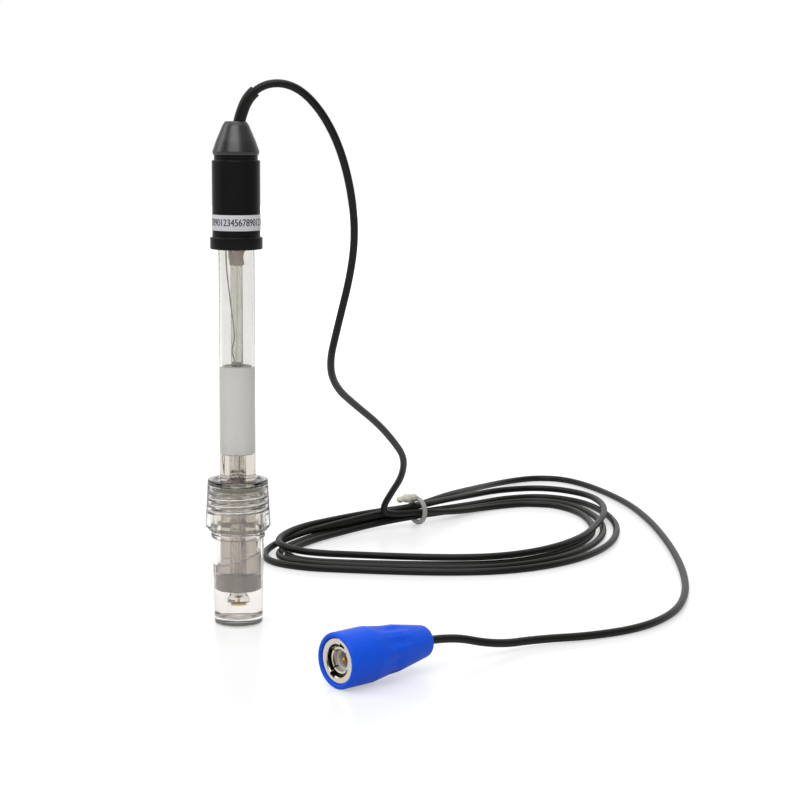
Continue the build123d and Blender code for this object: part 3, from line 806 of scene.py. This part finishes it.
inked = add_node(tree, "GeometryNodeSetMaterial", {
    "Geometry": moved.outputs["Geometry"], "Material": given["Ink"]})
add_node(tree, "NodeGroupOutput", {"Geometry": inked.outputs["Geometry"]})
print("nodes in the tree", len(tree.nodes))

# %% Run the digits' tree


def grow(name, tree, **values):
    """A plain mesh object from a tree of Geometry Nodes, run with these inputs."""
    holder = new_object(name + "_holder", bpy.data.meshes.new(name + "_holder"))
    modifier = holder.modifiers.new("grow", "NODES")
    modifier.node_group = tree
    for socket in tree.interface.items_tree:
        if socket.in_out == "INPUT" and socket.name in values:
            modifier[socket.identifier] = values[socket.name]
    graph = bpy.context.evaluated_depsgraph_get()
    mesh = bpy.data.meshes.new_from_object(holder.evaluated_get(graph))
    bpy.data.objects.remove(holder)
    return new_object(name, mesh)


ink_lift = 0.02
digits = grow("label_digits", tree, Text="0123456789" * 3, Size=2.6 * MM, Stretch=1.25,
              Bolder=(0.1 * MM, 0.03 * MM, 0.004 * MM),
              Radius=(label_out + ink_lift) * MM, Height=(label_low + label_high) / 2 * MM, Ink=ink)
settle(digits, "probe", "black_cap")
print("digit faces", len(digits.data.polygons))

# %% [markdown]
# ## Tie
# A soft clear ring of tubing holds the bundle. It lies in a plane across the bundle, so its points are
# worked out from angles in that plane.

# %% Tie ring
# Clear tubing, scuffed by handling: hazy grey-white with a soft shine
clear_pvc = start_material("soft_clear_pvc", "#B9BDB6", 0.3, grain=0.6, bump=0.02, tone="#D2D4CF",
                           Transmission_Weight=0.35, IOR=1.45)
out_of_coil = outward(0)
tie_middle = Vector((*coil_middle[0], bundle_height))
tie_in = Vector((-out_of_coil.x, -out_of_coil.y, 0))
tie_reach = 4.9


def tie_place(angle, reach, along=0.0):
    """A point round the bundle: degrees from straight up towards the coil's inside."""
    spot = math.radians(angle)
    run = Vector((out_of_coil.y, -out_of_coil.x, 0))
    return (tie_middle + Vector((0, 0, 1)) * reach * math.cos(spot) + tie_in * reach * math.sin(spot)
            + run * along) * MM


tie_steering = [tie_place(angle, tie_reach + 0.2) for angle in range(-30, 390, 30)]
tie_line = spline_points("tie_line", tie_steering, 8)
tie = hose("tie_ring", tie_line, 1.0, clear_pvc, sides=14)
settle(tie, "bottle", "tie_clear", "coil_tie")
print("tie points", len(tie_line))

# %% [markdown]
# The ring is knotted behind its top. Only three soft lumps of the knot show, so each is a rounded
# lump with an angle round the bundle, a distance along it and a radius.

# %% Knot behind the top of the ring
# The same tubing pulled tight: whiter, because its creases scatter the light
knot_pvc = start_material("milky_clear_pvc", "#F3EFE2", 0.35, grain=0.5, bump=0.02, tone="#E6E1D2",
                          drift=2.0, Transmission_Weight=0.3, IOR=1.45)
knot_lumps = ((-8, -1.6, 1.8), (-20, -4.2, 2.2), (-30, -7.0, 1.6))
half_turn = [math.pi * step / 12 for step in range(13)]
for number, (angle, along, radius) in enumerate(knot_lumps):
    lump_side = [(radius * math.sin(turned), -0.85 * radius * math.cos(turned)) for turned in half_turn]
    lump = lathe(f"knot_lump_{number}", lump_side, knot_pvc, around=32)
    lump.data.transform(Matrix.Translation(tie_place(angle, tie_reach + 0.9, along)))
    settle(lump, "bottle", "tie_clear")
print("lumps in the knot", len(knot_lumps))

# %% [markdown]
# ## Plug
# The plug's boot is pulled over a bayonet ring. Shallow scallops run along its waist. Inside the ring
# sit the split outer contact, a white insulator and a gold pin.

# %% Materials of the plug
# Soft PVC with a fine matt skin: one strong, even blue
blue_pvc = start_material("soft_blue_pvc", "#0256EE", 0.42, grain=0.5, bump=0.012, tone="#0A5EF4",
                          drift=10.0, Specular_IOR_Level=0.22)
# Polished nickel plate: a warm mirror that shows the white table and the dark gaps
nickel = start_material("polished_nickel_plate", "#E6DFD2", 0.14, grain=0.4, bump=0.004, tone="#DAD2C3",
                        Metallic=1.0)
# Machined PTFE: waxy white, lit a little from inside
white_ptfe = start_material("white_ptfe", "#D9D8D4", 0.45, grain=0.5, bump=0.01, tone="#CFCDC8",
                            Subsurface_Weight=0.15, Subsurface_Scale=0.001)
# Gold plate over brass: a small warm glint
pin_gold = start_material("gold_plate", "#D59A5A", 0.25, grain=0.2, tone="#C98A48", Metallic=1.0)
# Moulded rubber: matt black
black_gasket = start_material("black_rubber_gasket", "#222222", 0.6, grain=0.3, bump=0.01)
plug_materials = (blue_pvc, nickel, white_ptfe, pin_gold, black_gasket)
print("plug materials", [material.name for material in plug_materials])

# %% Boot of the plug
scallop_count = 9
scallop_start, scallop_length, scallop_depth = 13, 15.5, 0.45


def scallop(r, z, angle):
    """Shallow flutes along the waist of the boot."""
    if scallop_start < z < scallop_start + scallop_length and r > 5.6:
        across = (angle / math.tau * scallop_count) % 1 - 0.5
        along = math.sin(math.pi * (z - scallop_start) / scallop_length)
        r -= scallop_depth * max(0.0, 1 - (across / 0.3) ** 2) * along
    return r, z


plug_length, row_height = 36.5, 0.8
boot_side = rounded([
    (7.35, 0.2, 0.3), (8.0, 0, 0.4), (plug_band_radius, 0.7, 0.5), (plug_band_radius, 11.8, 3),
    (7.65, 18.7, 4), (7.4, 23, 4), (6.0, 30.5, 5), (4.9, plug_length, 1.6), (1.75, plug_length, 0.3)],
    0.3, closed=False)
boot_rows = []
for a, b in zip(boot_side, boot_side[1:]):
    pieces = max(1, round((b - a).length / row_height))
    boot_rows += [a + (b - a) * step / pieces for step in range(pieces)]
ring_room, hub_room, ferrule_room = 7.15, 4.9, 2.4
boot_rows += rounded([
    (1.75, plug_length), (1.75, 34.6), (ferrule_room, 34.6), (ferrule_room, 23.1), (hub_room, 23.1),
    (hub_room, 16.1), (ring_room, 16.1), (ring_room, 0.5), (7.35, 0.2)], 0.15, closed=False)
plug_boot = lay(lathe("blue_boot", boot_rows, blue_pvc, around=144, shape=scallop))
settle(plug_boot, "plug_sleeve", "boot_blue", "plug_boot")
print("boot faces", len(plug_boot.data.polygons))

# %% [markdown]
# The pieces inside are turned, and the frame's solids already have their shapes. They keep them and
# get their finish through their material slots.

# %% Finishes for the solids that stay
finishes = (
    ("coupling_ring", nickel), ("plug_shell", nickel), ("crimp_ferrule", nickel), ("spring_washer", nickel),
    ("plug_insulator", white_ptfe), ("centre_pin", pin_gold), ("plug_gasket", black_gasket))
for node, material in finishes:
    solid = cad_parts[node]
    if not solid.material_slots:
        solid.data.materials.append(material)
    for slot in solid.material_slots:
        slot.material = material
print("solids dressed", len(finishes))

# %% [markdown]
# ## Studio
# A pale floor, a white surround and three large soft lights. To the camera floor and surround are
# white by their own light. The floor has less of it near the object, so that soft shadows show there.
# Rays that come through clear pieces find the floor less bright, and reflected ones dimmer still.

# %% Floor
floor_mesh = bpy.data.meshes.new("floor")
reach = 3.0
floor_corners = [(-reach, -reach, 0), (reach, -reach, 0), (reach, reach, 0), (-reach, reach, 0)]
floor_mesh.from_pydata(floor_corners, [], [(0, 1, 2, 3)])
floor = new_object("floor", floor_mesh)
floor_paper = bpy.data.materials.new("white_backdrop_paper")
floor_paper.use_nodes = True
tree = floor_paper.node_tree
tree.nodes.clear()
# Smooth white paper board: a soft shadow and a faint blurred reflection right under each piece
paper = add_node(tree, "ShaderNodeBsdfPrincipled", {
    "Base Color": linear("#CBCBCB"), "Roughness": 0.28, "Specular IOR Level": 0.3})
rays = add_node(tree, "ShaderNodeLightPath").outputs
spot = add_node(tree, "ShaderNodeTexCoord").outputs["Object"]
middle = add_node(tree, "ShaderNodeVectorMath", {0: spot, 1: (0.08, 0.08, 0)}, operation="DISTANCE")
near = add_node(tree, "ShaderNodeMapRange", {
    "Value": middle.outputs["Value"], "From Min": 0.3, "From Max": 1.1, "To Min": 0.46, "To Max": 1.0})
behind = add_node(tree, "ShaderNodeMapRange", {
    "Value": add_node(tree, "ShaderNodeSeparateXYZ", {"Vector": spot}).outputs["Y"],
    "From Min": -0.35, "From Max": 0.1, "To Min": 0.34, "To Max": 0.42})
through = add_node(tree, "ShaderNodeMath", {0: rays["Is Transmission Ray"], 1: behind.outputs["Result"]},
                   operation="MULTIPLY")
mirrored = add_node(tree, "ShaderNodeMath", {0: rays["Is Glossy Ray"], 1: 0.2, 2: through.outputs[0]},
                    operation="MULTIPLY_ADD")
glow = add_node(tree, "ShaderNodeMath", {
    0: rays["Is Camera Ray"], 1: near.outputs["Result"], 2: mirrored.outputs[0]}, operation="MULTIPLY_ADD")
lift = add_node(tree, "ShaderNodeEmission", {"Color": linear("#FFFFFF"), "Strength": glow.outputs[0]})
both = add_node(tree, "ShaderNodeAddShader", {0: paper.outputs[0], 1: lift.outputs[0]})
add_node(tree, "ShaderNodeOutputMaterial", {"Surface": both.outputs[0]})
floor_mesh.materials.append(floor_paper)
print("floor", 2 * reach, "m wide")

# %% [markdown]
# The surround lights the object evenly, as a light tent does, and goes grey at the far left and right
# for reflections and for light through glass. For reflections it is also dark in front of the object
# and bright above, so black pieces stay black with one sheen. For light through glass it has a dark
# belt behind, above the horizon, or clear pieces and their threads would have no edges.

# %% Surround
world = bpy.data.worlds.new("studio")
bpy.context.scene.world = world
world.use_nodes = True
tree = world.node_tree
tree.nodes.clear()
look = add_node(tree, "ShaderNodeSeparateXYZ", {
    "Vector": add_node(tree, "ShaderNodeTexCoord").outputs["Generated"]}).outputs
rays = add_node(tree, "ShaderNodeLightPath").outputs
sides = add_node(tree, "ShaderNodeValToRGB", {"Fac": add_node(tree, "ShaderNodeMapRange", {
    "Value": look["X"], "From Min": -1.0, "From Max": 1.0}).outputs["Result"]})
ramp = sides.color_ramp
for end in (0, 1):
    ramp.elements[end].position = float(end)
    ramp.elements[end].color = linear("#6F6C6A")
for position, colour in ((0.12, "#DDD8D5"), (0.5, "#FFFFFF"), (0.88, "#DDD8D5")):
    ramp.elements.new(position).color = linear(colour)
front = add_node(tree, "ShaderNodeMapRange", {
    "Value": look["Y"], "From Min": -0.45, "From Max": 0.15, "To Min": 0.16, "To Max": 1.0})
above = add_node(tree, "ShaderNodeMapRange", {"Value": look["Z"], "From Min": 0.35, "From Max": 0.85})
mirrored = add_node(tree, "ShaderNodeMath", {0: front.outputs["Result"], 1: above.outputs["Result"]},
                    operation="MAXIMUM")
ceiling = add_node(tree, "ShaderNodeValToRGB", {"Fac": look["Z"]})
for position, grey in ((0.16, "#FFFFFF"), (0.24, "#5A5A5A"), (0.62, "#5A5A5A"), (0.8, "#FFFFFF")):
    ceiling.color_ramp.elements.new(position).color = linear(grey)
ceiling.color_ramp.elements[0].color = linear("#FFFFFF")
rear = add_node(tree, "ShaderNodeMapRange", {
    "Value": look["Y"], "From Min": -0.05, "From Max": 0.1, "To Min": 1.0, "To Max": 0.0})
dimmed = add_node(tree, "ShaderNodeMath", {0: ceiling.outputs["Color"], 1: rear.outputs["Result"]},
                  operation="MAXIMUM")
shade = add_node(tree, "ShaderNodeMix", {
    "Factor": rays["Is Transmission Ray"], "A": mirrored.outputs[0], "B": dimmed.outputs[0]})
studio = add_node(tree, "ShaderNodeMix", {"Factor": 1.0}, data_type="RGBA", blend_type="MULTIPLY")
tree.links.new(sides.outputs["Color"], studio.inputs["A"])
tree.links.new(shade.outputs["Result"], studio.inputs["B"])
seen = add_node(tree, "ShaderNodeMath", {0: rays["Is Glossy Ray"], 1: rays["Is Transmission Ray"]},
                operation="ADD", use_clamp=True)
around = add_node(tree, "ShaderNodeMix", {"Factor": seen.outputs[0], "A": linear("#BCBCBC")},
                  data_type="RGBA")
tree.links.new(studio.outputs["Result"], around.inputs["B"])
plain = add_node(tree, "ShaderNodeMix", {"Factor": rays["Is Camera Ray"]}, data_type="RGBA")
tree.links.new(around.outputs["Result"], plain.inputs["A"])
plain.inputs["B"].default_value = linear("#FFFFFF")
back = add_node(tree, "ShaderNodeBackground", {"Color": plain.outputs["Result"], "Strength": 1.0})
add_node(tree, "ShaderNodeOutputWorld", {"Surface": back.outputs[0]})
print("nodes in the surround", len(tree.nodes))

# %% [markdown]
# Three soft boxes: a wide one in front and above, one overhead for the floor and the tops, and one at
# the left that shapes the sides. Light crosses many clear walls here, so rays may bounce 24 times.

# %% Lights


def soft_light(name, place, aim, size, power):
    """A soft box of this width and height, turned towards a point; power in watts."""
    data = bpy.data.lights.new(name, "AREA")
    data.shape = "RECTANGLE"
    data.size, data.size_y = size
    data.energy = power
    lamp = new_object(name, data)
    place, aim = Vector(place), Vector(aim)
    turned = (aim - place).to_track_quat("-Z", "Y").to_matrix().to_4x4()
    lamp.matrix_world = Matrix.Translation(place) @ turned


soft_light("front", (-0.1, -0.85, 0.95), (0.0, 0.0, 0.16), (1.1, 0.45), 4.5)
soft_light("top", (0.0, 0.15, 1.2), (0.07, 0.1, 0), (0.9, 0.9), 3.5)
soft_light("side", (-1.0, 0.1, 0.7), (0.05, 0.05, 0.05), (0.5, 0.8), 2.5)
wall_bounces = 24
scene = bpy.context.scene
scene.view_settings.view_transform = "Standard"
scene.cycles.max_bounces = wall_bounces
scene.cycles.transmission_bounces = wall_bounces
print("lights", [item.name for item in bpy.data.lights])

# %% [markdown]
# ## Sizes
# The dressed object must stay as large as the frame says.
